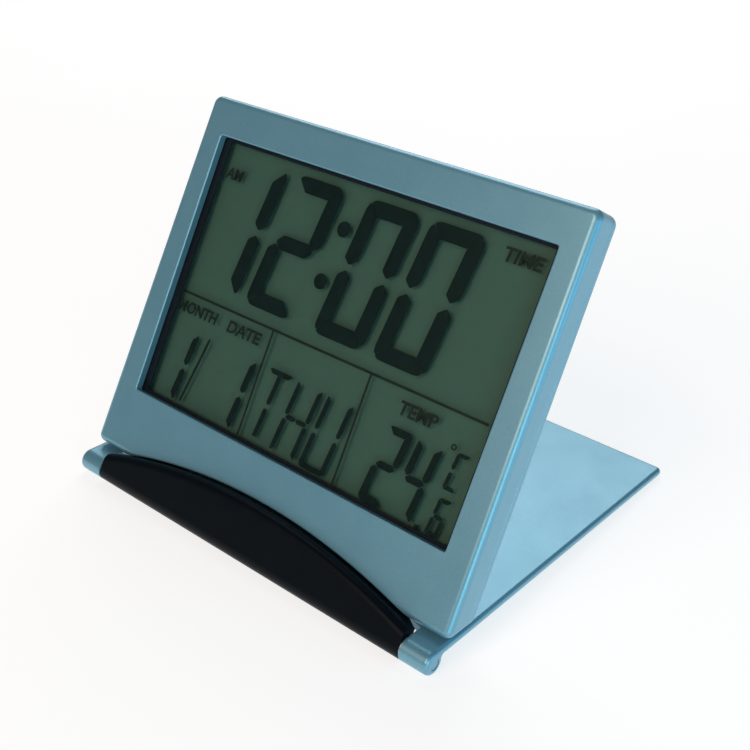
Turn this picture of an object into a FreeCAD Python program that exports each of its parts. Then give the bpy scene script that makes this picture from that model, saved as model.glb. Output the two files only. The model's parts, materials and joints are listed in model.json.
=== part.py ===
import FreeCAD, Part
import math
import os
import re

import Sketcher

# Folding travel alarm clock with a liquid-crystal display.
#
# The clock case leans back on its own cover, which has swung right round behind it and
# lies under it as a stand. Both turn on one hinge line along the case's lower edge.
#
# Drawing frame: every piece of the case is drawn with the case lying on its back, the
# hinge line on X, the case reaching up along Y and the display facing +Z. The cover is
# drawn closed over the display, in the same frame. Each piece's Placement then stands
# it up: the case at its lean angle, the cover on the table behind it.
# World frame: X to the right, Y to the back, Z up, origin on the table under the middle
# of the whole clock.

DIMENSIONS = [
    # Hinge line and stance
    ("hinge_back", -35.95, "hinge line, world Y"),
    ("lean_angle", 61.4, "case, up from the table, degrees"),
    ("barrel_radius", 2.1, "hinge barrels and spine"),
    ("barrel_inner", 36.7, "inner end of a barrel, from the middle"),
    ("barrel_outer", 42.3, "outer end of a barrel, from the middle"),
    # Case outline
    ("case_bottom", 3.3, "lower edge above the hinge line"),
    ("case_top", 73.6, "top edge above the hinge line"),
    ("case_bottom_half", 42.7, "half width at the lower edge"),
    ("case_top_half", 41.7, "half width at the top edge"),
    ("case_front", 0.5, "front face behind the hinge line"),
    ("case_depth", 6.8, "front face to back face"),
    ("bottom_rise", 3.15, "how far the lower face climbs towards the back"),
    ("parting_depth", 4.9, "front face to the joint of the two shells"),
    ("corner_round", 1.7, "top corners of the case"),
    ("foot_round", 1.3, "lower corners of the case"),
    ("front_round", 1.2, "front edges"),
    ("back_round", 1.0, "back edges"),
    ("joint_bevel", 0.07, "bevels that make a fine groove where the shells meet"),
    # Case walls
    ("front_wall", 1.45, "front wall"),
    ("side_wall", 1.3, "side, top and arched lower walls"),
    ("rear_wall", 1.2, "rear wall"),
    ("cavity_bottom", 7.4, "straight lower end of the cavity"),
    ("cavity_shoulder", 25.5, "half width of the arched part of the cavity's lower end"),
    ("cavity_round", 0.8, "upper corners of the cavity"),
    # Arched notch for the spine
    ("arch_half", 36.6, "half width of the notch"),
    ("arch_foot", 3.35, "height of the arch's two ends"),
    ("arch_top", 8.8, "height of the arch's middle"),
    ("arch_edge_round", 0.35, "front edge of the arch"),
    # Display window and the layers behind it
    ("window_half", 36.85, "half width of the window"),
    ("window_bottom", 16.3, "lower edge of the window"),
    ("window_top", 66.65, "upper edge of the window"),
    ("window_corner", 0.5, "window corners"),
    ("window_edge_round", 0.25, "front edge of the window"),
    ("layer_margin", 1.05, "how far the display layers pass the window"),
    ("mask_border", 1.45, "width of the black mask inside the window, at its left"),
    ("mask_narrow", 1.0, "width of the black mask inside the window, at its right"),
    ("mask_edge", 0.6, "width of the black mask inside the window, top and bottom"),
    ("lens_thick", 0.35, "clear window"),
    ("mask_thick", 0.15, "black mask"),
    ("film_thick", 0.15, "polariser films and contact strip"),
    ("glass_thick", 0.55, "each display glass"),
    ("ledge", 2.6, "contact ledge of the front glass below the rear glass"),
    ("connector_half", 33.0, "half length of the elastomer connector"),
    ("connector_width", 2.0, "elastomer connector"),
    # Circuit board
    ("board_front", 3.55, "front face of the case to the board"),
    ("board_thick", 0.6, "circuit board"),
    ("board_half", 40.1, "half width of the board"),
    ("board_bottom", 11.7, "lower edge of the board"),
    ("board_top", 66.2, "upper edge of the board"),
    ("chip_across", -8.0, "clock chip under its blob of resin"),
    ("chip_up", 46.0, "clock chip"),
    ("chip_radius", 4.6, "clock chip"),
    ("chip_thick", 0.9, "clock chip"),
    ("chip_round", 0.7, "edge of the resin blob"),
    ("crystal_across", -8.7, "middle of the watch crystal"),
    ("crystal_up", 20.0, "middle of the watch crystal"),
    ("crystal_sunk", 0.25, "crystal's middle behind the back of the board"),
    ("crystal_length", 6.0, "crystal can"),
    ("crystal_radius", 1.0, "crystal can"),
    ("crystal_room", 0.3, "gap round the crystal in its slot in the board"),
    ("lead_length", 1.2, "crystal leads"),
    ("lead_radius", 0.15, "crystal leads"),
    ("lead_offset", 0.4, "half the distance between the leads"),
    ("resistor_half", 0.8, "half length of a chip resistor"),
    ("resistor_side", 0.4, "half width of a chip resistor"),
    ("resistor_thick", 0.45, "chip resistor"),
    ("bead_across", 32.0, "thermistor"),
    ("bead_up", 15.6, "thermistor"),
    ("bead_half", 0.9, "half length and half width of the thermistor"),
    ("bead_thick", 0.9, "thermistor"),
    ("bead_round", 0.35, "edges of the thermistor"),
    # Coin cell and its door
    ("cell_across", 14.0, "middle of the cell, from the middle of the case"),
    ("cell_up", 33.0, "middle of the cell above the hinge line"),
    ("cell_radius", 10.0, "coin cell"),
    ("cell_thick", 2.5, "coin cell"),
    ("cell_cap_radius", 8.9, "negative cap of the cell"),
    ("cell_step", 0.3, "height of the cap above the can, and the can's rounded rim"),
    ("contact_half", 1.5, "half width of the negative contact strip"),
    ("contact_tail", 5.0, "how far the strip passes the cell on to the board"),
    ("leaf_half", 2.5, "half width of the positive contact leaf"),
    ("leaf_high", 1.3, "height of the leaf behind the board"),
    ("leaf_foot", 3.0, "foot of the leaf along the board"),
    ("leaf_thick", 0.2, "positive contact leaf"),
    ("cell_room", 0.5, "gap round the cell in the board"),
    ("door_radius", 11.3, "battery door"),
    ("door_gap", 0.1, "gap round the door"),
    ("door_thick", 0.72, "battery door plate"),
    ("lip_thick", 0.6, "lip that holds the door's tabs"),
    ("tab_reach", 1.0, "how far a tab reaches under the lip"),
    ("tab_width", 5.0, "width of a tab"),
    ("tab_thick", 0.5, "height of a tab"),
    ("slot_half", 4.5, "half length of the coin slot"),
    ("slot_width", 1.5, "coin slot"),
    ("slot_deep", 0.4, "coin slot"),
    ("door_edge", 0.15, "outer edge of the door"),
    ("dot_radius", 0.6, "dot that shows how the door is turned"),
    ("dot_deep", 0.25, "dot"),
    ("dot_inset", 2.2, "dot from the door's edge"),
    # Buttons and keypad
    ("button_up", 57.5, "row of buttons above the hinge line"),
    ("button_pitch", 13.0, "button to button"),
    ("button_radius", 2.4, "button cap"),
    ("button_gap", 0.12, "gap round a button cap"),
    ("button_proud", 0.45, "cap above the floor of the button panel"),
    ("button_round", 0.35, "outer edge of a button cap"),
    ("button_play", 0.05, "gap between a button's flange and the rear wall"),
    ("button_flange", 3.1, "flange that keeps the button in"),
    ("flange_thick", 0.35, "button flange"),
    ("panel_half", 26.0, "half length of the recessed button panel"),
    ("panel_width", 9.0, "recessed button panel"),
    ("panel_deep", 0.5, "recessed button panel"),
    ("panel_round", 3.0, "corners of the button panel"),
    ("keypad_margin", 1.0, "keypad sheet inside the panel's outline"),
    ("pad_thick", 0.25, "silicone keypad sheet"),
    ("dome_radius", 2.0, "keypad dome"),
    ("dome_thick", 0.15, "keypad dome above the sheet"),
    # Sounder
    ("buzzer_across", -18.0, "sounder, from the middle of the case"),
    ("buzzer_up", 33.0, "sounder above the hinge line"),
    ("buzzer_radius", 7.5, "brass sounder disc"),
    ("buzzer_thick", 0.2, "brass sounder disc"),
    ("ceramic_radius", 5.0, "ceramic disc"),
    ("ceramic_thick", 0.15, "ceramic disc"),
    ("post_radius", 0.6, "each of the sounder's two contact springs"),
    ("rim_post", 6.3, "spring on the brass rim, from the spring on the ceramic"),
    ("sound_hole", 0.5, "radius of a sound hole"),
    ("sound_ring", 2.6, "radius of the ring of sound holes"),
    # Screws
    ("screw_radius", 0.8, "shank of a case screw"),
    ("screw_head", 1.5, "head radius of a case screw"),
    ("screw_head_thick", 0.7, "head of a case screw"),
    ("screw_length", 4.2, "shank of a case screw"),
    ("screw_sink", 0.1, "head below the back face"),
    ("boss_radius", 1.5, "screw bosses in the front shell"),
    ("rear_boss", 1.9, "screw bosses in the rear shell"),
    ("top_screw_across", 37.2, "upper case screws"),
    ("top_screw_up", 70.3, "upper case screws"),
    ("ear_screw_across", 24.5, "lower case screws, through the spine's ears"),
    ("ear_screw_up", 9.3, "lower case screws"),
    ("board_screw", 0.55, "shank of a board screw"),
    ("board_screw_head", 0.95, "head radius of a board screw"),
    ("board_head_thick", 0.45, "head of a board screw"),
    ("board_screw_length", 2.2, "shank of a board screw"),
    ("board_boss", 1.0, "bosses that carry the board"),
    ("board_screw_across", 39.0, "board screws"),
    ("board_screw_low", 20.0, "lower board screws"),
    ("board_screw_high", 60.0, "upper board screws"),
    # Hinge
    ("spine_half", 36.4, "half length of the spine"),
    ("spine_gap", 0.3, "gap between the spine and the arch"),
    ("spine_arch_half", 36.9, "half width of the arch on the spine's block"),
    ("spine_depth", 6.4, "back of the spine's block, behind the hinge line"),
    ("spine_clear", 2.45, "slanted underside of the block, from the hinge line"),
    ("spine_round", 1.4, "front edge of the spine"),
    ("spine_end_drop", 0.05, "ends of the spine's arch below the gap's even width"),
    ("block_front", 1.0, "where the block's underside meets the bar, behind the hinge line"),
    ("ear_half", 2.6, "half width of an ear"),
    ("ear_foot", 5.45, "lower end of an ear, inside the block"),
    ("ear_top", 10.9, "top of an ear"),
    ("ear_front", 3.3, "front of an ear, behind the hinge line"),
    ("fit_gap", 0.1, "gap round an ear in its slot"),
    ("pin_radius", 0.8, "hinge pin"),
    ("pin_start", 30.0, "inner end of a hinge pin, from the middle"),
    ("pin_end", 41.5, "outer end of a hinge pin, from the middle"),
    ("pin_play", 0.05, "running gap of a pin in its barrel"),
    ("washer_radius", 1.9, "spring washer"),
    ("washer_thick", 0.2, "spring washer"),
    # Cover
    ("cover_inner", 0.5, "inner face in front of the hinge line"),
    ("cover_foot", 7.2, "lower end of the full-width plate"),
    ("cover_top", 74.0, "far edge of the plate, a finger's lip past the case"),
    ("cover_corner", 1.0, "far corners of the plate"),
    ("cover_round", 0.75, "sides and far edge of the plate, and both edges of an arm's end"),
    ("arm_blend", 0.4, "hollow corner between a barrel and the inner face of its arm"),
    ("notch_gap", 0.1, "how much the cover's notch is larger than the case's arch"),
    ("notch_foot", 3.5, "ends of the cover's notch above the hinge line"),
    ("notch_shoulder", 1.0, "how far the plate reaches into an arm beside the notch"),
    ("dimple_radius", 1.1, "dimple in a barrel's end"),
    ("dimple_deep", 0.1, "dimple in a barrel's end"),
    # Drawing aid
    ("overcut", 1.0, "how far a cutting outline passes the piece it cuts"),
]
ALIASES = {name for name, value, note in DIMENSIONS}

doc = FreeCAD.newDocument("TravelClock")
sheet = doc.addObject("Spreadsheet::Sheet", "Dims")
for row, (alias, value, note) in enumerate(DIMENSIONS, start=1):
    sheet.set(f"A{row}", alias)
    sheet.set(f"B{row}", str(value))
    sheet.setAlias(f"B{row}", alias)
    sheet.set(f"C{row}", note)
doc.recompute()

# Heights of the layers, as formulas of the sheet. They fall away behind the display.
FRONT = "-case_front"
BACK = "-(case_front + case_depth)"
PARTING = "-(case_front + parting_depth)"
FRONT_INSIDE = "-(case_front + front_wall)"
BACK_INSIDE = "-(case_front + case_depth - rear_wall)"
LENS_BACK = f"{FRONT_INSIDE} - lens_thick"
MASK_BACK = f"{LENS_BACK} - mask_thick"
FILM_BACK = f"{MASK_BACK} - film_thick"
FRONT_GLASS_BACK = f"{FILM_BACK} - glass_thick"
REAR_GLASS_BACK = f"{FRONT_GLASS_BACK} - glass_thick"
BOARD_FRONT = "-(case_front + board_front)"
BOARD_BACK = f"{BOARD_FRONT} - board_thick"
PANEL_FLOOR = f"{BACK} + panel_deep"
COVER_OUTER = "barrel_radius"
# The cover slopes down until its far inner edge is level with the bottom of the barrels.
STAND_ANGLE = "-(atan(cover_inner / cover_top) + asin(barrel_radius / sqrt(cover_top^2 + cover_inner^2)))"

BUTTONS = ["mode", "set", "up", "down"]
SUBPARTS = []


def formula(text):
    """Turn a formula of plain dimension names into an expression on the sheet."""
    def cell(match):
        word = match.group()
        return f"Dims.{word}" if word in ALIASES else word
    return re.sub(r"[a-z_]+", cell, text)


def size(text):
    """The value that a formula of dimension names has now, in millimetres."""
    return float(sheet.evalExpression(formula(text)))


def bind(target, name, text):
    target.setExpression(name, formula(text))


# Sketches -------------------------------------------------------------------------------

def place(piece, angle):
    """Set a finished sub-part on the hinge line, turned up by the given angle."""
    piece.Label = piece.Name
    piece.Placement = FreeCAD.Placement(FreeCAD.Vector(), FreeCAD.Rotation(FreeCAD.Vector(1, 0, 0), 1))
    bind(piece, "Placement.Rotation.Angle", angle)
    bind(piece, "Placement.Base.y", "hinge_back")
    bind(piece, "Placement.Base.z", "barrel_radius")
    SUBPARTS.append(piece)


def new_body(label, frame="lean_angle"):
    """A body that becomes a sub-part of the case, or with no frame a piece of a later fusion."""
    body = doc.addObject("PartDesign::Body", label)
    if frame:
        place(body, frame)
    return body


def new_sketch(body, plane="XY_Plane", across="0", up="0", height="0"):
    """A sketch on one of the body's own planes, its origin moved within and off the plane."""
    sketch = body.newObject("Sketcher::SketchObject", "Sketch")
    base_plane = next(item for item in body.Origin.OriginFeatures if item.Role == plane)
    sketch.AttachmentSupport = [(base_plane, "")]
    sketch.MapMode = "FlatFace"
    bind(sketch, "AttachmentOffset.Base.x", across)
    bind(sketch, "AttachmentOffset.Base.y", up)
    bind(sketch, "AttachmentOffset.Base.z", height)
    return sketch


def pin_point(sketch, geometry, end, across, up):
    """Tie one point of a sketch to two formulas."""
    for kind, text in (("DistanceX", across), ("DistanceY", up)):
        number = sketch.addConstraint(Sketcher.Constraint(kind, -1, 1, geometry, end, size(text)))
        bind(sketch, f"Constraints[{number}]", text)


def draw_outline(sketch, corners, arches=None):
    """A closed outline through the corners, each tied to its two formulas.

    A side listed in arches is an arc instead, symmetric about the sketch's Y axis, whose
    middle stands at the given height.
    """
    arches = arches or {}
    points = [FreeCAD.Vector(size(across), size(up), 0) for across, up in corners]
    sides = []
    for index, start in enumerate(points):
        end = points[(index + 1) % len(points)]
        if index not in arches:
            sides.append((sketch.addGeometry(Part.LineSegment(start, end), False), 1, 2))
            continue
        middle = FreeCAD.Vector(0, size(arches[index]), 0)
        side = sketch.addGeometry(Part.Arc(start, middle, end), False)
        half, foot = corners[index]
        rise = f"(({arches[index]}) - ({foot}))"
        radius = f"(({half})^2 + {rise}^2) / (2 * {rise})"
        number = sketch.addConstraint(Sketcher.Constraint("Radius", side, size(radius)))
        bind(sketch, f"Constraints[{number}]", radius)
        backwards = sketch.getPoint(side, 1).distanceToPoint(start) > 1e-6
        sides.append((side, 2, 1) if backwards else (side, 1, 2))
    for index, (side, first, last) in enumerate(sides):
        follower, follower_first, follower_last = sides[(index + 1) % len(sides)]
        sketch.addConstraint(Sketcher.Constraint("Coincident", side, last, follower, follower_first))
        pin_point(sketch, side, first, *corners[index])


def draw_box(sketch, left, right, low, high):
    draw_outline(sketch, [(left, low), (right, low), (right, high), (left, high)])


def draw_circle(sketch, across, up, radius):
    centre = FreeCAD.Vector(size(across), size(up), 0)
    circle = sketch.addGeometry(Part.Circle(centre, FreeCAD.Vector(0, 0, 1), size(radius)), False)
    pin_point(sketch, circle, 3, across, up)
    number = sketch.addConstraint(Sketcher.Constraint("Radius", circle, size(radius)))
    bind(sketch, f"Constraints[{number}]", radius)


# Features -------------------------------------------------------------------------------

def shape_feature(sketch, kind, length, reverse, symmetric):
    body = sketch.getParentGeoFeatureGroup()
    feature = body.newObject(f"PartDesign::{kind}", kind)
    feature.Profile = sketch
    feature.Reversed = reverse
    if symmetric:
        feature.SideType = "Symmetric"
    if length:
        bind(feature, "Length", length)
    else:
        feature.Type = "ThroughAll"
    doc.recompute()
    return feature


def pad(sketch, length, reverse=False, symmetric=False):
    return shape_feature(sketch, "Pad", length, reverse, symmetric)


def cut(sketch, length=None, reverse=False, symmetric=False):
    """A pocket, which must take something away. It cuts down the sketch's normal unless reversed."""
    body = sketch.getParentGeoFeatureGroup()
    before = body.Tip.Shape.Volume
    feature = shape_feature(sketch, "Pocket", length, reverse, symmetric)
    if feature.Shape.Volume > before - 1e-6:
        raise RuntimeError(f"{body.Label}: {feature.Name} cuts nothing")
    return feature


def round_edges(body, radius, chosen, kind="Fillet"):
    """Round or chamfer the edges of the body for which chosen(edge) is true."""
    base = body.Tip
    names = [f"Edge{number}" for number, edge in enumerate(base.Shape.Edges, start=1) if chosen(edge)]
    if not names:
        raise RuntimeError(f"{body.Label}: no edge to round")
    feature = body.newObject(f"PartDesign::{kind}", kind)
    feature.Base = (base, names)
    bind(feature, "Radius" if kind == "Fillet" else "Size", radius)
    doc.recompute()
    return feature


def at_height(height):
    """A test for edges that lie at one height of the drawing frame."""
    level = size(height)
    return lambda edge: abs(edge.BoundBox.ZMin - level) < 1e-4 and abs(edge.BoundBox.ZMax - level) < 1e-4


def stands_upright(edge, half_width, up):
    """True for an upright edge near one of the two points at +-half_width."""
    box = edge.BoundBox
    near = abs(abs(box.Center.x) - half_width) < 0.05 and abs(box.Center.y - up) < 0.05
    return near and box.ZLength > 0.5


def slab(label, left, right, low, high, top, thick):
    """A flat rectangular piece whose top face is at the given height."""
    body = new_body(label)
    sketch = new_sketch(body, height=top)
    draw_box(sketch, left, right, low, high)
    pad(sketch, thick, reverse=True)
    return body


def disc(label, across, up, radius, top, thick):
    """A flat round piece whose top face is at the given height."""
    body = new_body(label)
    sketch = new_sketch(body, height=top)
    draw_circle(sketch, across, up, radius)
    pad(sketch, thick, reverse=True)
    return body


# Case shells ----------------------------------------------------------------------------

CASE_OUTLINE = [
    ("-case_bottom_half", "case_bottom"),
    ("case_bottom_half", "case_bottom"),
    ("case_top_half", "case_top"),
    ("-case_top_half", "case_top"),
]
CAVITY_OUTLINE = [
    ("-(case_bottom_half - side_wall)", "cavity_bottom"),
    ("-cavity_shoulder", "cavity_bottom"),
    ("cavity_shoulder", "cavity_bottom"),
    ("case_bottom_half - side_wall", "cavity_bottom"),
    ("case_top_half - side_wall", "case_top - side_wall"),
    ("-(case_top_half - side_wall)", "case_top - side_wall"),
]
CAVITY_ARCH = {1: "arch_top + side_wall"}


def cut_lower_face(body):
    """Slant the lower face up towards the back, so that it clears the cover below it."""
    sketch = new_sketch(body, "YZ_Plane")
    draw_outline(sketch, [
        ("0", FRONT),
        ("case_bottom", FRONT),
        ("case_bottom + bottom_rise", BACK),
        ("0", BACK),
    ])
    cut(sketch, symmetric=True)


def cut_arch(body):
    """The arched notch along the lower edge, right through the shell."""
    sketch = new_sketch(body, height=FRONT)
    corners = [
        ("-arch_half", "arch_foot - overcut"),
        ("arch_half", "arch_foot - overcut"),
        ("arch_half", "arch_foot"),
        ("-arch_half", "arch_foot"),
    ]
    draw_outline(sketch, corners, {2: "arch_top"})
    cut(sketch)


def round_outline(body):
    """Round the four corners of a shell's outline and bevel its edge at the joint."""
    top_half, top = size("case_top_half"), size("case_top")
    round_edges(body, "corner_round", lambda edge: stands_upright(edge, top_half, top))
    lower_face_top = size("case_bottom + bottom_rise") + 0.1
    round_edges(body, "foot_round", lambda edge: edge.BoundBox.ZLength > 1
                and edge.BoundBox.YMax < lower_face_top)
    round_edges(body, "joint_bevel", at_height(PARTING), "Chamfer")


def cut_cavity(body, height, depth, reverse):
    sketch = new_sketch(body, height=height)
    draw_outline(sketch, CAVITY_OUTLINE, CAVITY_ARCH)
    cut(sketch, depth, reverse=reverse)
    corner_top = size("case_top - side_wall")
    corner_half = size("case_top_half - side_wall")
    round_edges(body, "cavity_round", lambda edge: stands_upright(edge, corner_half, corner_top))


def both_sides(draw, across, up, *sizes):
    for side in ("-", ""):
        draw(f"{side}{across}", up, *sizes)


def make_front_case():
    body = new_body("front_case")
    outline = new_sketch(body, height=PARTING)
    draw_outline(outline, CASE_OUTLINE)
    pad(outline, "parting_depth")
    cut_lower_face(body)
    round_outline(body)
    round_edges(body, "front_round", at_height(FRONT))
    cut_arch(body)
    front_level = at_height(FRONT)
    arch_half, above_arch = size("arch_half"), size("arch_top") + 0.1
    round_edges(body, "arch_edge_round", lambda edge: front_level(edge)
                and edge.BoundBox.YMax < above_arch and edge.BoundBox.XLength > arch_half)
    cut_cavity(body, PARTING, "parting_depth - front_wall", reverse=True)

    window = new_sketch(body, height=FRONT)
    draw_box(window, "-window_half", "window_half", "window_bottom", "window_top")
    cut(window)
    for corner_up in ("window_bottom", "window_top"):
        window_half, level = size("window_half"), size(corner_up)
        round_edges(body, "window_corner", lambda edge: stands_upright(edge, window_half, level))
    window_low, window_high = size("window_bottom") - 0.01, size("window_top") + 0.01
    round_edges(body, "window_edge_round", lambda edge: front_level(edge)
                and edge.BoundBox.YMin > window_low and edge.BoundBox.YMax < window_high
                and abs(edge.BoundBox.Center.x) < window_half + 0.01)

    # Bosses: tall ones for the upper case screws, short ones under the spine's ears,
    # and middling ones beside the display that carry the circuit board.
    bosses = (
        ("top_screw_across", ("top_screw_up",), "boss_radius", "parting_depth - front_wall"),
        ("ear_screw_across", ("ear_screw_up",), "boss_radius", "ear_front - case_front - front_wall"),
        ("board_screw_across", ("board_screw_low", "board_screw_high"), "board_boss",
         "board_front - front_wall"),
    )
    for across, heights, radius, length in bosses:
        boss = new_sketch(body, height=FRONT_INSIDE)
        for up in heights:
            both_sides(lambda *place: draw_circle(boss, *place), across, up, radius)
        pad(boss, length, reverse=True)

    case_pilots = new_sketch(body, height=PARTING)
    for across, up in (("top_screw_across", "top_screw_up"), ("ear_screw_across", "ear_screw_up")):
        both_sides(lambda *place: draw_circle(case_pilots, *place), across, up, "screw_radius")
    cut(case_pilots, "parting_depth - front_wall", reverse=True)
    board_pilots = new_sketch(body, height=BOARD_FRONT)
    for up in ("board_screw_low", "board_screw_high"):
        both_sides(lambda *place: draw_circle(board_pilots, *place), "board_screw_across", up, "board_screw")
    cut(board_pilots, "board_front - front_wall", reverse=True)

    # Slots in the arched wall, open at the joint, where the spine's ears come in.
    for side in (-1, 1):
        slot = new_sketch(body, height=PARTING)
        middle = f"{side} * ear_screw_across"
        draw_box(slot, f"{middle} - ear_half - fit_gap", f"{middle} + ear_half + fit_gap",
                 "arch_foot", "cavity_bottom + overcut")
        cut(slot, "parting_depth + case_front - ear_front + fit_gap", reverse=True)


def make_rear_case():
    body = new_body("rear_case")
    outline = new_sketch(body, height=BACK)
    draw_outline(outline, CASE_OUTLINE)
    pad(outline, "case_depth - parting_depth")
    cut_lower_face(body)
    round_outline(body)
    round_edges(body, "back_round", at_height(BACK))
    cut_arch(body)
    cut_cavity(body, PARTING, "case_depth - parting_depth - rear_wall", reverse=False)

    bosses = new_sketch(body, height=BACK_INSIDE)
    for across, up in (("top_screw_across", "top_screw_up"), ("ear_screw_across", "ear_screw_up")):
        both_sides(lambda *place: draw_circle(bosses, *place), across, up, "rear_boss")
    pad(bosses, "case_depth - parting_depth - rear_wall")
    for radius, depth in (("screw_radius + fit_gap", None),
                          ("screw_head + fit_gap", "screw_sink + screw_head_thick")):
        holes = new_sketch(body, height=BACK)
        for across, up in (("top_screw_across", "top_screw_up"), ("ear_screw_across", "ear_screw_up")):
            both_sides(lambda *place: draw_circle(holes, *place), across, up, radius)
        cut(holes, depth, reverse=True)

    # Door opening: a lip on the outside, a wider groove inside it for the tabs, and three
    # notches in the lip where the tabs go in.
    opening = new_sketch(body, height=BACK)
    draw_circle(opening, "cell_across", "cell_up", "door_radius + door_gap")
    cut(opening, reverse=True)
    groove = new_sketch(body, height=f"{BACK} + lip_thick")
    draw_circle(groove, "cell_across", "cell_up", "door_radius + tab_reach + 3 * fit_gap")
    cut(groove, reverse=True)
    notch = new_sketch(body, across="cell_across", up="cell_up", height=BACK)
    draw_box(notch, "-(tab_width / 2 + fit_gap)", "tab_width / 2 + fit_gap", "cell_radius",
             "door_radius + tab_reach + fit_gap")
    first = cut(notch, reverse=True)
    pattern = body.newObject("PartDesign::PolarPattern", "PolarPattern")
    pattern.Originals = [first]
    pattern.Axis = (notch, ["N_Axis"])
    pattern.Angle = 360
    pattern.Occurrences = 3
    body.Tip = pattern
    doc.recompute()

    # Button panel, sunk so that the buttons don't stand above the back face.
    panel = new_sketch(body, height=BACK)
    draw_box(panel, "-panel_half", "panel_half", "button_up - panel_width / 2", "button_up + panel_width / 2")
    cut(panel, "panel_deep", reverse=True)
    panel_half, panel_low, panel_high = (size(text) for text in (
        "panel_half", "button_up - panel_width / 2", "button_up + panel_width / 2"))
    for level in (panel_low, panel_high):
        round_edges(body, "panel_round", lambda edge: abs(abs(edge.BoundBox.Center.x) - panel_half) < 0.01
                    and abs(edge.BoundBox.Center.y - level) < 0.01 and edge.BoundBox.ZLength > 0.3)
    button_holes = new_sketch(body, height=BACK)
    for number in range(len(BUTTONS)):
        draw_circle(button_holes, button_across(number), "button_up", "button_radius + button_gap")
    cut(button_holes, reverse=True)

    sound_holes = new_sketch(body, height=BACK)
    draw_circle(sound_holes, "buzzer_across", "buzzer_up", "sound_hole")
    for number in range(6):
        turn = math.radians(60 * number)
        draw_circle(sound_holes, f"buzzer_across + sound_ring * {math.cos(turn):.6f}",
                    f"buzzer_up + sound_ring * {math.sin(turn):.6f}", "sound_hole")
    cut(sound_holes, reverse=True)


def button_across(number):
    """Where a button is across the case: the first is at the left of the row, seen from the front."""
    return f"button_pitch * {number - (len(BUTTONS) - 1) / 2}"


# Display --------------------------------------------------------------------------------

LAYER_SIDES = ("-(window_half + layer_margin)", "window_half + layer_margin")
LAYER_LOW = "window_bottom - layer_margin"
LAYER_HIGH = "window_top + layer_margin"


def make_display():
    slab("window_lens", *LAYER_SIDES, LAYER_LOW, LAYER_HIGH, FRONT_INSIDE, "lens_thick")

    mask = slab("display_mask", *LAYER_SIDES, LAYER_LOW, LAYER_HIGH, LENS_BACK, "mask_thick")
    opening = new_sketch(mask, height=LENS_BACK)
    draw_box(opening, "-(window_half - mask_border)", "window_half - mask_narrow",
             "window_bottom + mask_edge", "window_top - mask_edge")
    cut(opening)

    slab("front_polarizer", *LAYER_SIDES, LAYER_LOW, LAYER_HIGH, MASK_BACK, "film_thick")
    slab("front_display_glass", *LAYER_SIDES, f"{LAYER_LOW} - ledge", LAYER_HIGH, FILM_BACK, "glass_thick")
    slab("rear_display_glass", *LAYER_SIDES, LAYER_LOW, LAYER_HIGH, FRONT_GLASS_BACK, "glass_thick")
    slab("display_reflector", *LAYER_SIDES, LAYER_LOW, LAYER_HIGH, REAR_GLASS_BACK, "film_thick")
    connector_low = f"{LAYER_LOW} - ledge + fit_gap"
    slab("display_connector", "-connector_half", "connector_half", connector_low,
         f"{connector_low} + connector_width", FRONT_GLASS_BACK,
         f"({FRONT_GLASS_BACK}) - ({BOARD_FRONT})")


# Circuit board and what it carries --------------------------------------------------------

RESISTOR_PLACES = [(-28, 46), (-24, 46), (-20, 46), (4, 48), (8, 48), (12, 48), (-2, 24), (-2, 27)]
CRYSTAL_LEVEL = f"{BOARD_BACK} - crystal_sunk"
DOOR_INSIDE = f"{BACK} + lip_thick + button_play"


def make_board():
    body = slab("circuit_board", "-board_half", "board_half", "board_bottom", "board_top",
                BOARD_FRONT, "board_thick")
    holes = new_sketch(body, height=BOARD_FRONT)
    draw_circle(holes, "cell_across", "cell_up", "cell_radius + cell_room")
    for up in ("board_screw_low", "board_screw_high"):
        both_sides(lambda *place: draw_circle(holes, *place), "board_screw_across", up, "board_screw + fit_gap")
    draw_box(holes, "crystal_across - crystal_length / 2 - crystal_room",
             "crystal_across + crystal_length / 2 + crystal_room + lead_length",
             "crystal_up - crystal_radius - crystal_room", "crystal_up + crystal_radius + crystal_room")
    cut(holes)

    chip = disc("clock_chip", "chip_across", "chip_up", "chip_radius", BOARD_BACK, "chip_thick")
    round_edges(chip, "chip_round", at_height(f"{BOARD_BACK} - chip_thick"))

    # Watch crystal: a can with two leads, lying in its slot in the board.
    crystal = new_body("quartz_crystal")
    can = new_sketch(crystal, "YZ_Plane", height="crystal_across - crystal_length / 2")
    draw_circle(can, "crystal_up", CRYSTAL_LEVEL, "crystal_radius")
    pad(can, "crystal_length")
    leads = new_sketch(crystal, "YZ_Plane", height="crystal_across + crystal_length / 2")
    for up in ("crystal_up - lead_offset", "crystal_up + lead_offset"):
        draw_circle(leads, up, CRYSTAL_LEVEL, "lead_radius")
    pad(leads, "lead_length")

    resistors = new_body("chip_resistors")
    resistors.AllowCompound = True
    footprints = new_sketch(resistors, height=BOARD_BACK)
    for across, up in RESISTOR_PLACES:
        draw_box(footprints, f"{across} - resistor_half", f"{across} + resistor_half",
                 f"{up} - resistor_side", f"{up} + resistor_side")
    pad(footprints, "resistor_thick", reverse=True)

    bead = slab("thermistor", "bead_across - bead_half", "bead_across + bead_half",
                "bead_up - bead_half", "bead_up + bead_half", BOARD_BACK, "bead_thick")
    round_edges(bead, "bead_round", at_height(f"{BOARD_BACK} - bead_thick"))

    keypad = slab("keypad", "-(panel_half - keypad_margin)", "panel_half - keypad_margin",
                  "button_up - panel_width / 2 + keypad_margin",
                  "button_up + panel_width / 2 - keypad_margin", BOARD_BACK, "pad_thick")
    domes = new_sketch(keypad, height=f"{BOARD_BACK} - pad_thick")
    for number in range(len(BUTTONS)):
        draw_circle(domes, button_across(number), "button_up", "dome_radius")
    pad(domes, "dome_thick", reverse=True)


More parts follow.
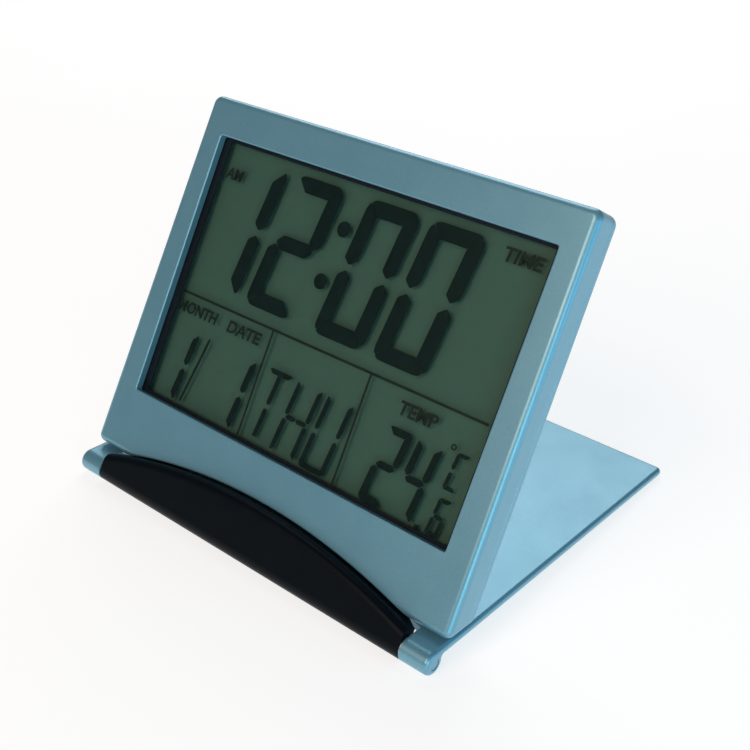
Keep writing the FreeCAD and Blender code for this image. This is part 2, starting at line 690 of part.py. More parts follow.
def make_cell():
    """A coin cell and its contacts: the wide can faces the door, the cap faces the display."""
    body = new_body("coin_cell")
    can = new_sketch(body, height=f"{BOARD_FRONT} - cell_step")
    draw_circle(can, "cell_across", "cell_up", "cell_radius")
    pad(can, "cell_thick - cell_step", reverse=True)
    round_edges(body, "cell_step", lambda edge: edge.BoundBox.ZLength < 0.01)
    cap = new_sketch(body, height=BOARD_FRONT)
    draw_circle(cap, "cell_across", "cell_up", "cell_cap_radius")
    pad(cap, "2 * cell_step", reverse=True)

    # The negative strip lies under the cell. The positive leaf stands at the cell's rim on
    # a foot soldered to the board.
    slab("negative_contact", "cell_across - cell_radius - contact_tail", "cell_across + contact_half",
         "cell_up - contact_half", "cell_up + contact_half", f"{BOARD_FRONT} + film_thick", "film_thick")
    leaf = new_body("positive_contact")
    profile = new_sketch(leaf, "XZ_Plane", height="-(cell_up + leaf_half)")
    rim = "cell_across + cell_radius + button_play"
    draw_outline(profile, [
        (rim, f"{BOARD_BACK} - leaf_high"),
        (f"{rim} + leaf_thick", f"{BOARD_BACK} - leaf_high"),
        (f"{rim} + cell_room + leaf_thick", f"{BOARD_BACK} - leaf_thick"),
        (f"{rim} + cell_room + leaf_foot", f"{BOARD_BACK} - leaf_thick"),
        (f"{rim} + cell_room + leaf_foot", BOARD_BACK),
        (f"{rim} + cell_room", BOARD_BACK),
    ])
    pad(profile, "2 * leaf_half")


def make_sounder():
    disc("buzzer_disc", "buzzer_across", "buzzer_up", "buzzer_radius", f"{BACK_INSIDE} + buzzer_thick",
         "buzzer_thick")
    disc("buzzer_ceramic", "buzzer_across", "buzzer_up", "ceramic_radius",
         f"{BACK_INSIDE} + buzzer_thick + ceramic_thick", "ceramic_thick")
    springs = new_body("buzzer_contacts")
    springs.AllowCompound = True
    for across, stack in (("buzzer_across", "buzzer_thick + ceramic_thick"),
                          ("buzzer_across + rim_post", "buzzer_thick")):
        post = new_sketch(springs, height=BOARD_BACK)
        draw_circle(post, across, "buzzer_up", "post_radius")
        pad(post, f"({BOARD_BACK}) - ({BACK_INSIDE}) - ({stack})", reverse=True)


# Door, buttons and screws -------------------------------------------------------------------

def make_door():
    body = disc("battery_door", "cell_across", "cell_up", "door_radius", f"{BACK} + door_thick", "door_thick")
    round_edges(body, "door_edge", at_height(BACK))
    slot = new_sketch(body, height=BACK)
    draw_box(slot, "cell_across - slot_half", "cell_across + slot_half",
             "cell_up - slot_width / 2", "cell_up + slot_width / 2")
    cut(slot, "slot_deep", reverse=True)
    dot = new_sketch(body, height=BACK)
    draw_circle(dot, "cell_across", "cell_up + door_radius - dot_inset", "dot_radius")
    cut(dot, "dot_deep", reverse=True)
    # Tabs, turned a sixth of a turn away from the notches when the door is locked.
    tab = new_sketch(body, across="cell_across", up="cell_up", height=DOOR_INSIDE)
    draw_box(tab, "-tab_width / 2", "tab_width / 2", "-(door_radius + tab_reach - fit_gap)",
             "-(cell_radius + fit_gap)")
    first = pad(tab, "tab_thick")
    pattern = body.newObject("PartDesign::PolarPattern", "PolarPattern")
    pattern.Originals = [first]
    pattern.Axis = (tab, ["N_Axis"])
    pattern.Angle = 360
    pattern.Occurrences = 3
    body.Tip = pattern
    doc.recompute()


def make_buttons():
    for number, name in enumerate(BUTTONS):
        body = new_body(f"button_{name}")
        flange = new_sketch(body, height=f"{BACK_INSIDE} + button_play")
        draw_circle(flange, button_across(number), "button_up", "button_flange")
        pad(flange, "flange_thick")
        cap = new_sketch(body, height=f"{BACK_INSIDE} + button_play")
        draw_circle(cap, button_across(number), "button_up", "button_radius")
        pad(cap, f"({BACK_INSIDE}) + button_play - ({PANEL_FLOOR}) + button_proud", reverse=True)
        round_edges(body, "button_round", at_height(f"{PANEL_FLOOR} - button_proud"))


def make_screws():
    """Screws as plain shanks with slotted round heads, one group for the case, one for the board."""
    places = (
        ("case_screws", "screw_radius", "screw_head", "screw_head_thick", f"{BACK} + screw_sink",
         (("top_screw_across", "top_screw_up"), ("ear_screw_across", "ear_screw_up")), "screw_length"),
        ("board_screws", "board_screw", "board_screw_head", "board_head_thick",
         f"{BOARD_BACK} - board_head_thick",
         (("board_screw_across", "board_screw_low"), ("board_screw_across", "board_screw_high")),
         "board_screw_length"),
    )
    for label, radius, head, head_thick, level, spots, length in places:
        body = new_body(label)
        body.AllowCompound = True
        heads = new_sketch(body, height=level)
        shanks = new_sketch(body, height=f"{level} + {head_thick}")
        recesses = new_sketch(body, height=level)
        for across, up in spots:
            both_sides(lambda *place: draw_circle(heads, *place), across, up, head)
            both_sides(lambda *place: draw_circle(shanks, *place), across, up, radius)
            for side in ("-", ""):
                draw_cross(recesses, f"{side}{across}", up, f"{head} * 0.6", f"{head} * 0.13")
        pad(heads, head_thick)
        pad(shanks, length)
        cut(recesses, f"{head_thick} * 0.6", reverse=True)


def draw_cross(sketch, across, up, reach, half):
    """A cross-shaped driver recess: three corners, repeated at each quarter turn."""
    corners = []
    for cosine, sine in ((1, 0), (0, 1), (-1, 0), (0, -1)):
        for along, aside in ((reach, f"-{half}"), (reach, half), (half, half)):
            corners.append((f"{across} + ({cosine}) * {along} - ({sine}) * ({aside})",
                            f"{up} + ({sine}) * {along} + ({cosine}) * ({aside})"))
    draw_outline(sketch, corners)


# Hinge ----------------------------------------------------------------------------------

def make_spine():
    """The black spine: a round bar on the hinge line and an arched block that fills the notch."""
    body = new_body("hinge_spine")
    block = new_sketch(body, "YZ_Plane")
    lean = f"cos(lean_angle * 1deg - ({STAND_ANGLE}))"
    rise = f"sin(lean_angle * 1deg - ({STAND_ANGLE}))"
    top = "arch_top - spine_gap"
    # The underside runs parallel to the cover's face when the cover is the stand.
    draw_outline(block, [
        ("0", "barrel_radius"),
        (f"{top} + overcut", "barrel_radius"),
        (f"{top} + overcut", "-spine_depth"),
        (f"(spine_clear + spine_depth * {lean}) / {rise}", "-spine_depth"),
        (f"(spine_clear + block_front * {lean}) / {rise}", "-block_front"),
        ("0", "-block_front"),
    ])
    pad(block, "2 * spine_half", symmetric=True)
    arch = new_sketch(body, height="barrel_radius")
    draw_outline(arch, [
        ("spine_arch_half", "arch_foot - spine_gap - spine_end_drop"),
        ("spine_arch_half", f"{top} + 2 * overcut"),
        ("-spine_arch_half", f"{top} + 2 * overcut"),
        ("-spine_arch_half", "arch_foot - spine_gap - spine_end_drop"),
    ], {3: top})
    cut(arch)
    front_level = at_height("barrel_radius")
    bar_top, half = size("barrel_radius"), size("spine_half")
    round_edges(body, "spine_round", lambda edge: front_level(edge)
                and edge.BoundBox.YMax > bar_top and edge.BoundBox.XLength > half)
    bar = new_sketch(body, "YZ_Plane")
    draw_circle(bar, "0", "0", "barrel_radius")
    pad(bar, "2 * spine_half", symmetric=True)
    for side in (-1, 1):
        middle = f"{side} * ear_screw_across"
        ear = new_sketch(body, height=PARTING)
        draw_box(ear, f"{middle} - ear_half", f"{middle} + ear_half", "ear_foot", "ear_top")
        pad(ear, "parting_depth + case_front - ear_front")
    holes = new_sketch(body, height=PARTING)
    both_sides(lambda *place: draw_circle(holes, *place), "ear_screw_across", "ear_screw_up",
               "screw_radius + fit_gap")
    cut(holes, "parting_depth + case_front - ear_front", reverse=True)
    for side, reverse in ((-1, True), (1, False)):
        bore = new_sketch(body, "YZ_Plane", height=f"{side} * pin_start")
        draw_circle(bore, "0", "0", "pin_radius")
        cut(bore, "spine_half - pin_start", reverse=not reverse)


def make_pins():
    for side, name in ((-1, "left"), (1, "right")):
        pin = new_body(f"hinge_pin_{name}")
        shank = new_sketch(pin, "YZ_Plane", height=f"{side} * pin_start")
        draw_circle(shank, "0", "0", "pin_radius")
        pad(shank, "pin_end - pin_start", reverse=side < 0)
        washer = new_body(f"spring_washer_{name}")
        ring = new_sketch(washer, "YZ_Plane", height=f"{side} * (spine_half + pin_play)")
        draw_circle(ring, "0", "0", "washer_radius")
        draw_circle(ring, "0", "0", "pin_radius + pin_play")
        pad(ring, "washer_thick", reverse=side < 0)


def make_cover_arm(side):
    """A hinge barrel with the arm that carries it, bored for its pin."""
    body = new_body(f"cover_arm_{side}", frame=None)
    towards, reverse = ("-", True) if side == "left" else ("", False)
    arm = new_sketch(body, "YZ_Plane", height=f"{towards}barrel_inner")
    draw_box(arm, "0", "cover_foot", "cover_inner", "barrel_radius")
    pad(arm, "barrel_outer - barrel_inner", reverse=reverse)
    barrel = new_sketch(body, "YZ_Plane", height=f"{towards}barrel_inner")
    draw_circle(barrel, "0", "0", "barrel_radius")
    pad(barrel, "barrel_outer - barrel_inner", reverse=reverse)
    corner = size("sqrt(barrel_radius^2 - cover_inner^2)")
    round_edges(body, "arm_blend", lambda edge: edge.BoundBox.XLength > 1
                and abs(edge.BoundBox.Center.y - corner) < 1e-3)
    end_level = size("barrel_outer")
    round_edges(body, "cover_round", lambda edge: edge.BoundBox.XLength < 1e-3
                and abs(abs(edge.BoundBox.Center.x) - end_level) < 1e-3
                and edge.BoundBox.YMax < size("cover_foot") + 0.1 and edge.BoundBox.YLength > 0.1)
    bore = new_sketch(body, "YZ_Plane", height=f"{towards}barrel_inner")
    draw_circle(bore, "0", "0", "pin_radius + pin_play")
    cut(bore, "pin_end - barrel_inner + fit_gap", reverse=not reverse)
    dimple = new_sketch(body, "YZ_Plane", height=f"{towards}barrel_outer")
    draw_circle(dimple, "0", "0", "dimple_radius")
    cut(dimple, "dimple_deep", reverse=reverse)
    return body


def make_cover():
    """The cover: a thin plate, notched for the spine, with a barrel on an arm at each side."""
    body = new_body("cover_plate", frame=None)
    plate = new_sketch(body, height=COVER_OUTER)
    draw_outline(plate, [
        ("-barrel_outer", "cover_foot"),
        ("-(barrel_inner + notch_shoulder)", "cover_foot"),
        ("-(barrel_inner + notch_shoulder)", "notch_foot"),
        ("-barrel_inner", "notch_foot"),
        ("barrel_inner", "notch_foot"),
        ("barrel_inner + notch_shoulder", "notch_foot"),
        ("barrel_inner + notch_shoulder", "cover_foot"),
        ("barrel_outer", "cover_foot"),
        ("case_top_half", "cover_top"),
        ("-case_top_half", "cover_top"),
    ], {3: "arch_top + notch_gap"})
    pad(plate, "barrel_radius - cover_inner", reverse=True)
    top_half, top = size("case_top_half"), size("cover_top")
    round_edges(body, "cover_corner", lambda edge: stands_upright(edge, top_half, top))
    outer_level = at_height(COVER_OUTER)
    round_edges(body, "cover_round", lambda edge: outer_level(edge) and (
        edge.BoundBox.YLength > top / 2 or edge.BoundBox.YMin > top - 1.5 * size("cover_corner")))
    round_edges(body, "arch_edge_round", lambda edge: outer_level(edge)
                and edge.BoundBox.XLength > size("barrel_inner") and edge.BoundBox.YMax < top / 2)
    inner_level = at_height("cover_inner")
    round_edges(body, "cover_round", lambda edge: inner_level(edge) and edge.BoundBox.YLength > top / 2)
    whole = doc.addObject("Part::MultiFuse", "stand_cover")
    whole.Shapes = [body, make_cover_arm("left"), make_cover_arm("right")]
    whole.Refine = True
    place(whole, STAND_ANGLE)


make_front_case()
make_rear_case()
make_display()
make_board()
make_cell()
make_sounder()
make_door()
make_buttons()
make_screws()
make_spine()
make_pins()
make_cover()
doc.recompute()

for item in doc.Objects:
    if "Invalid" in item.State or "Error" in item.State:
        raise RuntimeError(f"{item.Label} failed: {item.State}")
for piece in SUBPARTS:
    if piece.Shape.isNull() or not piece.Shape.isValid() or not piece.Shape.Solids:
        raise RuntimeError(f"{piece.Label} has no valid solid")

os.makedirs("parts", exist_ok=True)
for piece in SUBPARTS:
    piece.Shape.exportStep(f"parts/{piece.Label}.step")
    box = piece.Shape.BoundBox
    print(f"{piece.Label:21s} {len(piece.Shape.Solids)} {piece.Shape.Volume:9.2f} mm3  "
          f"x {box.XMin:7.2f} {box.XMax:7.2f}  y {box.YMin:7.2f} {box.YMax:7.2f}  "
          f"z {box.ZMin:6.2f} {box.ZMax:6.2f}")
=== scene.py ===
import json
import math

import bmesh
import bpy
from mathutils import Matrix, Vector


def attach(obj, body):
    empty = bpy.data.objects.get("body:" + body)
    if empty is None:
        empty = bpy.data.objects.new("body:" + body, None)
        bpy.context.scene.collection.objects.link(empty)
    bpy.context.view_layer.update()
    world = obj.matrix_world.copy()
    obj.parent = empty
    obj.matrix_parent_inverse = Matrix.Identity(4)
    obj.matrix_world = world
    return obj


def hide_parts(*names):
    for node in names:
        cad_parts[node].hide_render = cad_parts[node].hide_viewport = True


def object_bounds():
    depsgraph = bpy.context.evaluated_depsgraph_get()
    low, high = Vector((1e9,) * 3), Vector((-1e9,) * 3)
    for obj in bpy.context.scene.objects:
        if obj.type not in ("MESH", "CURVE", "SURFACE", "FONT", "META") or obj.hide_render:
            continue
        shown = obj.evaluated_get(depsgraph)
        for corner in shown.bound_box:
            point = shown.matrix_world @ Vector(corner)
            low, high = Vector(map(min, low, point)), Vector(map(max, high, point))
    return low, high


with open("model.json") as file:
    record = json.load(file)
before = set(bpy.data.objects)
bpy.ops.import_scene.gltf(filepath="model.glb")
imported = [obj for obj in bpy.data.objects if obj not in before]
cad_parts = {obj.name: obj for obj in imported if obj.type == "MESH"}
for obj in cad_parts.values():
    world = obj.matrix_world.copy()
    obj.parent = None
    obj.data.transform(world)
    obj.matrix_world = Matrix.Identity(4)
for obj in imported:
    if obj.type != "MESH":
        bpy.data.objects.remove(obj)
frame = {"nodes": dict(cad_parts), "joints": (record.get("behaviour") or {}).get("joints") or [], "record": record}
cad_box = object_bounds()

MM = 0.001

# Case frame -----------------------------------------------------------------------------
# Across, up the case and out of the display, from the hinge line, as the joints give it.

JOINTS = {joint["name"]: joint for joint in frame["joints"]}
HINGE = Vector(JOINTS["cover_hinge"]["pos_m"])
ACROSS = Vector((1, 0, 0))
OUT = Vector(JOINTS["mode_press"]["axis"])
UP = OUT.cross(ACROSS)


def on_case(across, up, out):
    """A point of the case frame, given in millimetres, in the row frame."""
    return HINGE + MM * (across * ACROSS + up * UP + out * OUT)


def case_box(node):
    """Lowest and highest (across, up, out) of a CAD node of the case, in millimetres."""
    corners = [vertex.co - HINGE for vertex in frame["nodes"][node].data.vertices]
    spans = [[corner.dot(axis) / MM for corner in corners] for axis in (ACROSS, UP, OUT)]
    return [min(span) for span in spans], [max(span) for span in spans]


# Materials ------------------------------------------------------------------------------

class Finish:
    """A material made of nodes, textured in the object's own metres."""

    def __init__(self, name, colour, roughness, **settings):
        self.material = bpy.data.materials.new(name)
        self.material.use_nodes = True
        self.tree = self.material.node_tree
        self.shader = self.tree.nodes["Principled BSDF"]
        self.output = self.tree.nodes["Material Output"]
        self.place = self.tree.nodes.new("ShaderNodeTexCoord").outputs["Object"]
        self.put("Base Color", (*colour, 1))
        self.put("Roughness", roughness)
        for socket, value in settings.items():
            self.put(socket.replace("_", " ").title().replace("Ior", "IOR"), value)

    def put(self, socket, value):
        self.shader.inputs[socket].default_value = value

    def add(self, kind, **inputs):
        """A new node, with its inputs linked or set by name."""
        node = self.tree.nodes.new(f"ShaderNode{kind}")
        for name, value in inputs.items():
            self.wire(value, node.inputs[name])
        return node

    def wire(self, value, socket):
        if isinstance(value, bpy.types.NodeSocket):
            self.tree.links.new(value, socket)
        else:
            socket.default_value = value

    def noise(self, size_mm, detail=2.0):
        """Noise whose features are about size_mm across."""
        return self.add("TexNoise", Vector=self.place, Scale=1 / (size_mm * MM), Detail=detail).outputs["Fac"]

    def cells(self, size_mm):
        """A random value for each grain about size_mm across."""
        grains = self.add("TexVoronoi", Vector=self.place, Scale=1 / (size_mm * MM))
        return self.add("SeparateColor", Color=grains.outputs["Color"]).outputs["Red"]

    def between(self, factor, low, high, start=0.0, end=1.0):
        """A number that goes from low to high as the factor goes from start to end."""
        node = self.add("MapRange", Value=factor)
        for name, value in (("From Min", start), ("From Max", end), ("To Min", low), ("To Max", high)):
            self.wire(value, node.inputs[name])
        return node.outputs["Result"]

    def blend(self, factor, first, second):
        node = self.tree.nodes.new("ShaderNodeMix")
        node.data_type = "RGBA"
        self.wire(factor, node.inputs[0])
        for socket, colour in ((node.inputs[6], first), (node.inputs[7], second)):
            self.wire(colour if isinstance(colour, bpy.types.NodeSocket) else (*colour, 1), socket)
        return node.outputs[2]

    def colour(self, source):
        self.wire(source, self.shader.inputs["Base Color"])

    def roughness(self, source):
        self.wire(source, self.shader.inputs["Roughness"])

    def bump(self, height, depth_mm, strength=1.0, base=None):
        node = self.add("Bump", Height=height, Strength=strength, Distance=depth_mm * MM)
        if base is not None:
            self.wire(base, node.inputs["Normal"])
        self.wire(node.outputs["Normal"], self.shader.inputs["Normal"])
        return node.outputs["Normal"]

    def see_through(self, tint):
        """Clear: what is behind shows, with gloss by Fresnel on the front face."""
        fresnel = self.add("Fresnel", IOR=1.46).outputs["Fac"]
        inside = self.add("NewGeometry").outputs["Backfacing"]
        share = self.between(inside, fresnel, 0.0)
        clear = self.add("BsdfTransparent", Color=(*tint, 1))
        mix = self.tree.nodes.new("ShaderNodeMixShader")
        self.wire(share, mix.inputs[0])
        self.wire(clear.outputs["BSDF"], mix.inputs[1])
        self.wire(self.shader.outputs["BSDF"], mix.inputs[2])
        self.wire(mix.outputs["Shader"], self.output.inputs["Surface"])


def silver_paint():
    paint = Finish("silver_paint", (0.155, 0.36, 0.467), 0.35,
                   metallic=0.5, coat_weight=0.2, coat_roughness=0.25)
    flakes = paint.cells(0.09)
    cloud = paint.noise(14, 3)
    fleck = paint.blend(flakes, (0.138, 0.33, 0.434), (0.17, 0.39, 0.50))
    paint.colour(paint.blend(paint.between(cloud, 0, 0.35, 0.35, 0.7), fleck, (0.148, 0.348, 0.452)))
    paint.roughness(paint.between(paint.noise(6, 4), 0.32, 0.38, 0.3, 0.7))
    peel = paint.bump(paint.noise(1.6, 2), 0.008, 0.4)
    paint.bump(flakes, 0.004, 0.3, peel)
    return paint.material


def black_plastic():
    black = Finish("black_plastic", (0.001, 0.003, 0.005), 0.38, specular_ior_level=0.1)
    black.colour(black.blend(black.noise(9, 3), (0.0005, 0.0025, 0.005), (0.0008, 0.0035, 0.0065)))
    black.roughness(black.between(black.noise(2.5, 4), 0.35, 0.41, 0.3, 0.7))
    black.bump(black.noise(0.35, 2), 0.001, 0.3)
    return black.material


def clear_acrylic():
    acrylic = Finish("clear_acrylic", (0.02, 0.025, 0.03), 0.06)
    acrylic.roughness(acrylic.between(acrylic.noise(12, 4), 0.03, 0.09, 0.3, 0.7))
    acrylic.see_through((0.97, 0.985, 0.98))
    return acrylic.material


def polariser():
    film = Finish("polariser", (0.02, 0.03, 0.026), 0.35)
    film.bump(film.noise(0.12, 1), 0.003, 0.4)
    film.see_through((0.8, 0.86, 0.8))
    return film.material


def mask_ink():
    ink = Finish("mask_ink", (0.004, 0.012, 0.018), 0.5, specular_ior_level=0.12)
    ink.colour(ink.blend(ink.noise(3), (0.005, 0.010, 0.016), (0.008, 0.014, 0.021)))
    return ink.material


def segment_ink():
    ink = Finish("segment_ink", (0.008, 0.026, 0.036), 0.45, specular_ior_level=0.2)
    ink.colour(ink.blend(ink.noise(2.5), (0.007, 0.023, 0.032), (0.010, 0.029, 0.040)))
    return ink.material


def label_ink():
    ink = Finish("label_ink", (0.012, 0.026, 0.026), 0.45)
    ink.colour(ink.blend(ink.noise(1.5), (0.010, 0.022, 0.022), (0.016, 0.032, 0.032)))
    return ink.material


def reflector_foil():
    foil = Finish("reflector_foil", (0.132, 0.22, 0.235), 0.55)
    grain = foil.blend(foil.noise(0.25, 3), (0.122, 0.205, 0.218), (0.144, 0.24, 0.254))
    foil.colour(foil.blend(foil.between(foil.noise(9, 3), 0, 0.5, 0.35, 0.65), grain, (0.126, 0.225, 0.25)))
    foil.bump(foil.noise(0.2, 2), 0.01, 0.5)
    return foil.material


def plain(name, colour, roughness, grain_mm, depth_mm=0.01, spread=0.12, **settings):
    """A moulded, rolled or pressed surface: two close tones, uneven gloss and a fine grain."""
    finish = Finish(name, colour, roughness, **settings)
    tones = [tuple(channel * scale for channel in colour) for scale in (1 - spread, 1 + spread)]
    grain = finish.noise(grain_mm, 3)
    finish.colour(finish.blend(grain, *tones))
    patches = finish.noise(grain_mm * 8, 3)
    finish.roughness(finish.between(patches, roughness * 0.85, roughness * 1.15, 0.3, 0.7))
    finish.bump(grain, depth_mm, 0.5)
    return finish.material


FINISHES = {
    "silver_shell": silver_paint(),
    "clear_window": clear_acrylic(),
    "mask_black": mask_ink(),
    "polarizer_film": polariser(),
    "display_glass": polariser(),
    "display_reflector": reflector_foil(),
    "connector_rubber": plain("connector_rubber", (0.2, 0.2, 0.22), 0.6, 0.5),
    "board_green": plain("board_green", (0.03, 0.16, 0.07), 0.35, 1.2),
    "chip_resin": plain("chip_resin", (0.015, 0.015, 0.017), 0.3, 0.8),
    "bright_steel": plain("bright_steel", (0.62, 0.64, 0.65), 0.28, 0.4, 0.004, 0.06, metallic=1.0),
    "dark_steel": plain("dark_steel", (0.16, 0.17, 0.18), 0.35, 0.3, 0.006, 0.1, metallic=1.0),
    "keypad_rubber": plain("keypad_rubber", (0.4, 0.42, 0.43), 0.7, 0.6),
    "buzzer_brass": plain("buzzer_brass", (0.7, 0.5, 0.22), 0.3, 0.5, 0.004, 0.08, metallic=1.0),
    "buzzer_ceramic": plain("buzzer_ceramic", (0.75, 0.75, 0.72), 0.5, 0.4),
    "button_grey": plain("button_grey", (0.05, 0.06, 0.07), 0.42, 0.25, 0.012),
    "black_spine": black_plastic(),
}

NODES = frame["nodes"]
for part in frame["record"]["subparts"]:
    NODES[part["node"]].data.materials.clear()
    NODES[part["node"]].data.materials.append(FINISHES[part["material_slot"]])


# Display --------------------------------------------------------------------------------
# The segments lie between the polariser and the reflector, so they cast soft shadows.

SLANT = math.tan(math.radians(6))
POLARISER_BACK = case_box("front_polarizer")[0][2]
INK_FRONT = POLARISER_BACK - 0.02
INK_BACK = INK_FRONT - 0.03


def soften(outline, radius):
    """The outline with its corners cut to short arcs."""
    points = []
    for index, corner in enumerate(outline):
        before, after = Vector(outline[index - 1]), Vector(outline[(index + 1) % len(outline)])
        corner = Vector(corner)
        back, ahead = before - corner, after - corner
        turn = back.angle(ahead)
        if turn > math.radians(150):
            points.append(corner)
            continue
        reach = min(radius / math.tan(turn / 2), back.length * 0.45, ahead.length * 0.45)
        start, end = corner + back.normalized() * reach, corner + ahead.normalized() * reach
        for share in (0, 0.25, 0.5, 0.75, 1):
            points.append(start.lerp(corner, share).lerp(corner.lerp(end, share), share))
    return points


def arc(across, up, radius, start, end, steps=2):
    """Points on an arc, from one angle to another in degrees."""
    angles = [math.radians(start + (end - start) * step / steps) for step in range(steps + 1)]
    return [(across + radius * math.cos(angle), up + radius * math.sin(angle)) for angle in angles]


class Cell:
    """One character cell, upright, whose bars are named as on any segment display."""

    def __init__(self, width, height, stroke, corner, mitre, waist, soft):
        self.width, self.height, self.stroke, self.soft = width, height, stroke, soft
        middle, inner = height / 2, width - stroke
        tip, shoulder = waist / 2, waist / 2 + stroke * 0.4
        top = [(x + mitre, y) for x, y in arc(corner, height - corner, corner, 135, 90)]
        top += [(x - mitre, y) for x, y in arc(width - corner, height - corner, corner, 90, 45)]
        top += [(inner - mitre, height - stroke), (stroke + mitre, height - stroke)]
        side = [(x, y - mitre) for x, y in arc(width - corner, height - corner, corner, 45, 0)]
        side += [(width, middle + shoulder), (width - stroke / 2, middle + tip),
                 (inner, middle + shoulder), (inner, height - stroke - mitre)]
        reach = stroke * 0.42
        self.bars = {
            "a": top, "d": self.flip(top),
            "b": side, "c": self.flip(side), "f": self.mirror(side), "e": self.mirror(self.flip(side)),
            "g": self.bar(reach, width - reach),
            "g1": self.bar(reach, width / 2 - mitre), "g2": self.bar(width / 2 + mitre, width - reach),
        }
        left, right, collar = (width - stroke) / 2, (width + stroke) / 2, height - stroke - mitre
        post = [(left, collar), (left, middle + shoulder), (width / 2, middle + tip),
                (right, middle + shoulder), (right, collar)]
        self.bars["i"], self.bars["l"] = post, self.flip(post)

    def flip(self, outline):
        return [(x, self.height - y) for x, y in outline]

    def mirror(self, outline):
        return [(self.width - x, y) for x, y in outline]

    def bar(self, left, right):
        """A bar across the middle with pointed ends."""
        middle, half = self.height / 2, self.stroke * 0.47
        return [(left, middle), (left + half, middle + half), (right - half, middle + half),
                (right, middle), (right - half, middle - half), (left + half, middle - half)]

    def outlines(self, left, foot, names):
        """The named bars, slanted, standing at a place in the case frame."""
        for name in names.split():
            yield [(left + x + SLANT * y, foot + y) for x, y in soften(self.bars[name], self.soft)]


CHARACTERS = {
    "0": "a b c d e f", "1": "b c", "2": "a b g e d", "4": "f g b c", "6": "a f e d c g", "C": "a f e d",
    "T": "a i l", "H": "b c e f g1 g2", "U": "b c d e f",
}


def plates(name, outlines, finish):
    """Flat figures of ink as thin closed plates behind the polariser, on the case."""
    mesh = bmesh.new()
    for outline in outlines:
        front, back = ([mesh.verts.new(on_case(x, y, depth)) for x, y in outline]
                       for depth in (INK_FRONT, INK_BACK))
        mesh.faces.new(front)
        mesh.faces.new(reversed(back))
        for index in range(len(outline)):
            mesh.faces.new((front[index - 1], back[index - 1], back[index], front[index]))
    return add_piece(name, mesh, finish, "case")


def add_piece(name, mesh, finish, body):
    """Turn a bmesh in the row frame into a piece that rides on a body."""
    bmesh.ops.recalc_face_normals(mesh, faces=mesh.faces)
    data = bpy.data.meshes.new(name)
    mesh.to_mesh(data)
    mesh.free()
    data.materials.append(finish)
    piece = bpy.data.objects.new(name, data)
    bpy.context.scene.collection.objects.link(piece)
    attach(piece, body)
    return piece


def box(left, right, foot, top):
    """The outline of an upright rectangle."""
    return [(left, foot), (right, foot), (right, top), (left, top)]


def make_segments():
    """The lit bars of all figures, each at its left edge and foot in the case frame."""
    hours = Cell(11.2, 25.0, 2.85, 2.0, 0.03, 0.9, 0.5)
    small = Cell(5.0, 13.6, 1.35, 0.9, 0.03, 0.7, 0.25)
    letter = Cell(5.8, 13.6, 0.95, 0.7, 0.03, 0.6, 0.2)
    tiny = Cell(2.5, 6.4, 0.7, 0.5, 0.03, 0.4, 0.15)
    rows = [
        (hours, 39.5, ((-33.7, "1"), (-20.3, "2"), (-3.55, "0"), (9.85, "0"))),
        (small, 17.0, ((-34.0, "1"), (-18.95, "1"), (16.75, "2"), (22.9, "4"))),
        (letter, 17.2, ((-11.0, "T"), (-3.95, "H"), (3.1, "U"))),
        (tiny, 17.0, ((30.9, "6"),)),
        (tiny, 24.8, ((31.2, "C"),)),
    ]
    outlines = []
    for cell, foot, characters in rows:
        for left, character in characters:
            outlines += cell.outlines(left, foot, CHARACTERS[character])
    outlines += [arc(-4.25, 57.9, 1.4, 0, 345, 23), arc(-5.35, 48.1, 1.4, 0, 345, 23)]
    outlines.append(box(28.9, 29.7, 16.85, 17.65))
    outlines.append([(-27.6, 17.6), (-27.1, 17.6), (-24.8, 30.6), (-25.3, 30.6)])
    segments = plates("display_segments", outlines, segment_ink())
    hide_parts("front_display_glass", "rear_display_glass")
    lines = [box(-35.2, 35.2, 36.8, 37.25), box(-11.8, -11.35, 17.0, 36.8), box(11.05, 11.5, 17.0, 36.8)]
    lines += [arc(30.8, 31.6, 0.55, start, start + 180, 8) + arc(30.8, 31.6, 0.25, start + 180, start, 8)
              for start in (0, 180)]
    plates("display_dividers", lines, label_ink())


def make_labels():
    """The display's fixed words, as thin closed letters."""
    words = [("TIME", 27.0, 34.4, 61.8, 64.2), ("AM", -34.6, -30.4, 59.5, 61.7),
             ("MONTH", -35.2, -25.2, 33.3, 35.6), ("DATE", -22.1, -13.9, 33.2, 35.5),
             ("TEMP", 18.5, 26.4, 32.7, 35.1)]
    mesh = bmesh.new()
    for word, left, right, foot, top in words:
        text = bpy.data.curves.new(word, "FONT")
        text.body, text.offset, text.extrude, text.resolution_u = word, 0.03, 0.5, 3
        holder = bpy.data.objects.new(word, text)
        flat = bpy.data.meshes.new_from_object(holder)
        low = [min(vertex.co[axis] for vertex in flat.vertices) for axis in range(2)]
        high = [max(vertex.co[axis] for vertex in flat.vertices) for axis in range(2)]
        for vertex in flat.vertices:
            x = left + (right - left) * (vertex.co.x - low[0]) / (high[0] - low[0])
            y = foot + (top - foot) * (vertex.co.y - low[1]) / (high[1] - low[1])
            depth = INK_FRONT if vertex.co.z > 0 else INK_BACK
            vertex.co = on_case(x + SLANT * (y - foot), y, depth)
        mesh.from_mesh(flat)
        bpy.data.objects.remove(holder)
        bpy.data.curves.remove(text)
        bpy.data.meshes.remove(flat)
    bmesh.ops.remove_doubles(mesh, verts=mesh.verts, dist=MM * 0.001)
    add_piece("display_labels", mesh, label_ink(), "case")


make_segments()
make_labels()


# Studio ---------------------------------------------------------------------------------

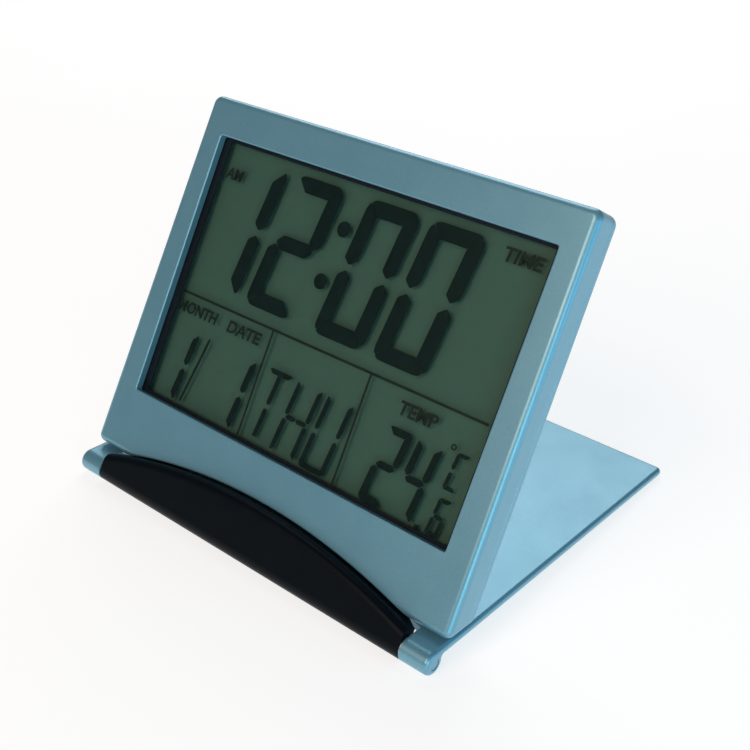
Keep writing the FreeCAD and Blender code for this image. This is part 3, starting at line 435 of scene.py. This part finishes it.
def make_floor():
    """A wide pale sheet just under the clock."""
    mesh = bmesh.new()
    bmesh.ops.create_grid(mesh, x_segments=1, y_segments=1, size=3)
    data = bpy.data.meshes.new("floor")
    mesh.to_mesh(data)
    mesh.free()
    paper = Finish("paper", (0.4, 0.4, 0.4), 0.9, specular_ior_level=0.0, emission_strength=0.72)
    paper.put("Emission Color", (1, 1, 1, 1))
    paper.colour(paper.blend(paper.noise(60, 3), (0.39, 0.39, 0.39), (0.41, 0.41, 0.41)))
    data.materials.append(paper.material)
    floor = bpy.data.objects.new("floor", data)
    floor.location.z = -0.05 * MM
    bpy.context.scene.collection.objects.link(floor)


def softbox(name, azimuth, elevation, distance, side, power, colour):
    """A square area light that looks at the middle of the object."""
    lamp = bpy.data.lights.new(name, "AREA")
    lamp.size, lamp.energy, lamp.color = side, power, colour
    light = bpy.data.objects.new(name, lamp)
    turn = (Matrix.Rotation(math.radians(azimuth), 3, "Z")
            @ Matrix.Rotation(math.radians(90 - elevation), 3, "X"))
    target = (cad_box[0] + cad_box[1]) / 2
    light.matrix_world = Matrix.Translation(target) @ turn.to_4x4() @ Matrix.Translation((0, 0, distance))
    bpy.context.scene.collection.objects.link(light)


def make_camera():
    """The camera stands to the front right, above the clock."""
    lens = bpy.data.cameras.new("camera")
    lens.lens, lens.sensor_width = 56.28, 36
    lens.clip_start, lens.clip_end = 0.01, 20
    camera = bpy.data.objects.new("camera", lens)
    azimuth, elevation, roll = (math.radians(angle) for angle in (39.33, 29.51, 1.98))
    turn = (Matrix.Rotation(azimuth, 3, "Z") @ Matrix.Rotation(math.pi / 2 - elevation, 3, "X")
            @ Matrix.Rotation(roll, 3, "Z"))
    camera.matrix_world = Matrix.Translation((0.11966, -0.14729, 0.12945)) @ turn.to_4x4()
    bpy.context.scene.collection.objects.link(camera)
    bpy.context.scene.camera = camera


make_floor()
make_camera()
softbox("back", 215, 40, 0.8, 0.6, 2.8, (1.0, 1.0, 1.0))
softbox("front", 0, 35, 1.0, 0.6, 5.2, (1.0, 0.69, 0.53))
softbox("right", 54, 10, 0.4, 0.2, 0.45, (0.5, 0.9, 1.0))
softbox("side", 100, 4, 0.4, 0.25, 0.4, (0.1, 0.65, 1.0))
world = bpy.data.worlds.new("studio")
world.use_nodes = True
world.node_tree.nodes["Background"].inputs["Color"].default_value = (0.7, 0.88, 1, 1)
world.node_tree.nodes["Background"].inputs["Strength"].default_value = 0.17
bpy.context.scene.world = world
bpy.context.scene.view_settings.view_transform = "Standard"
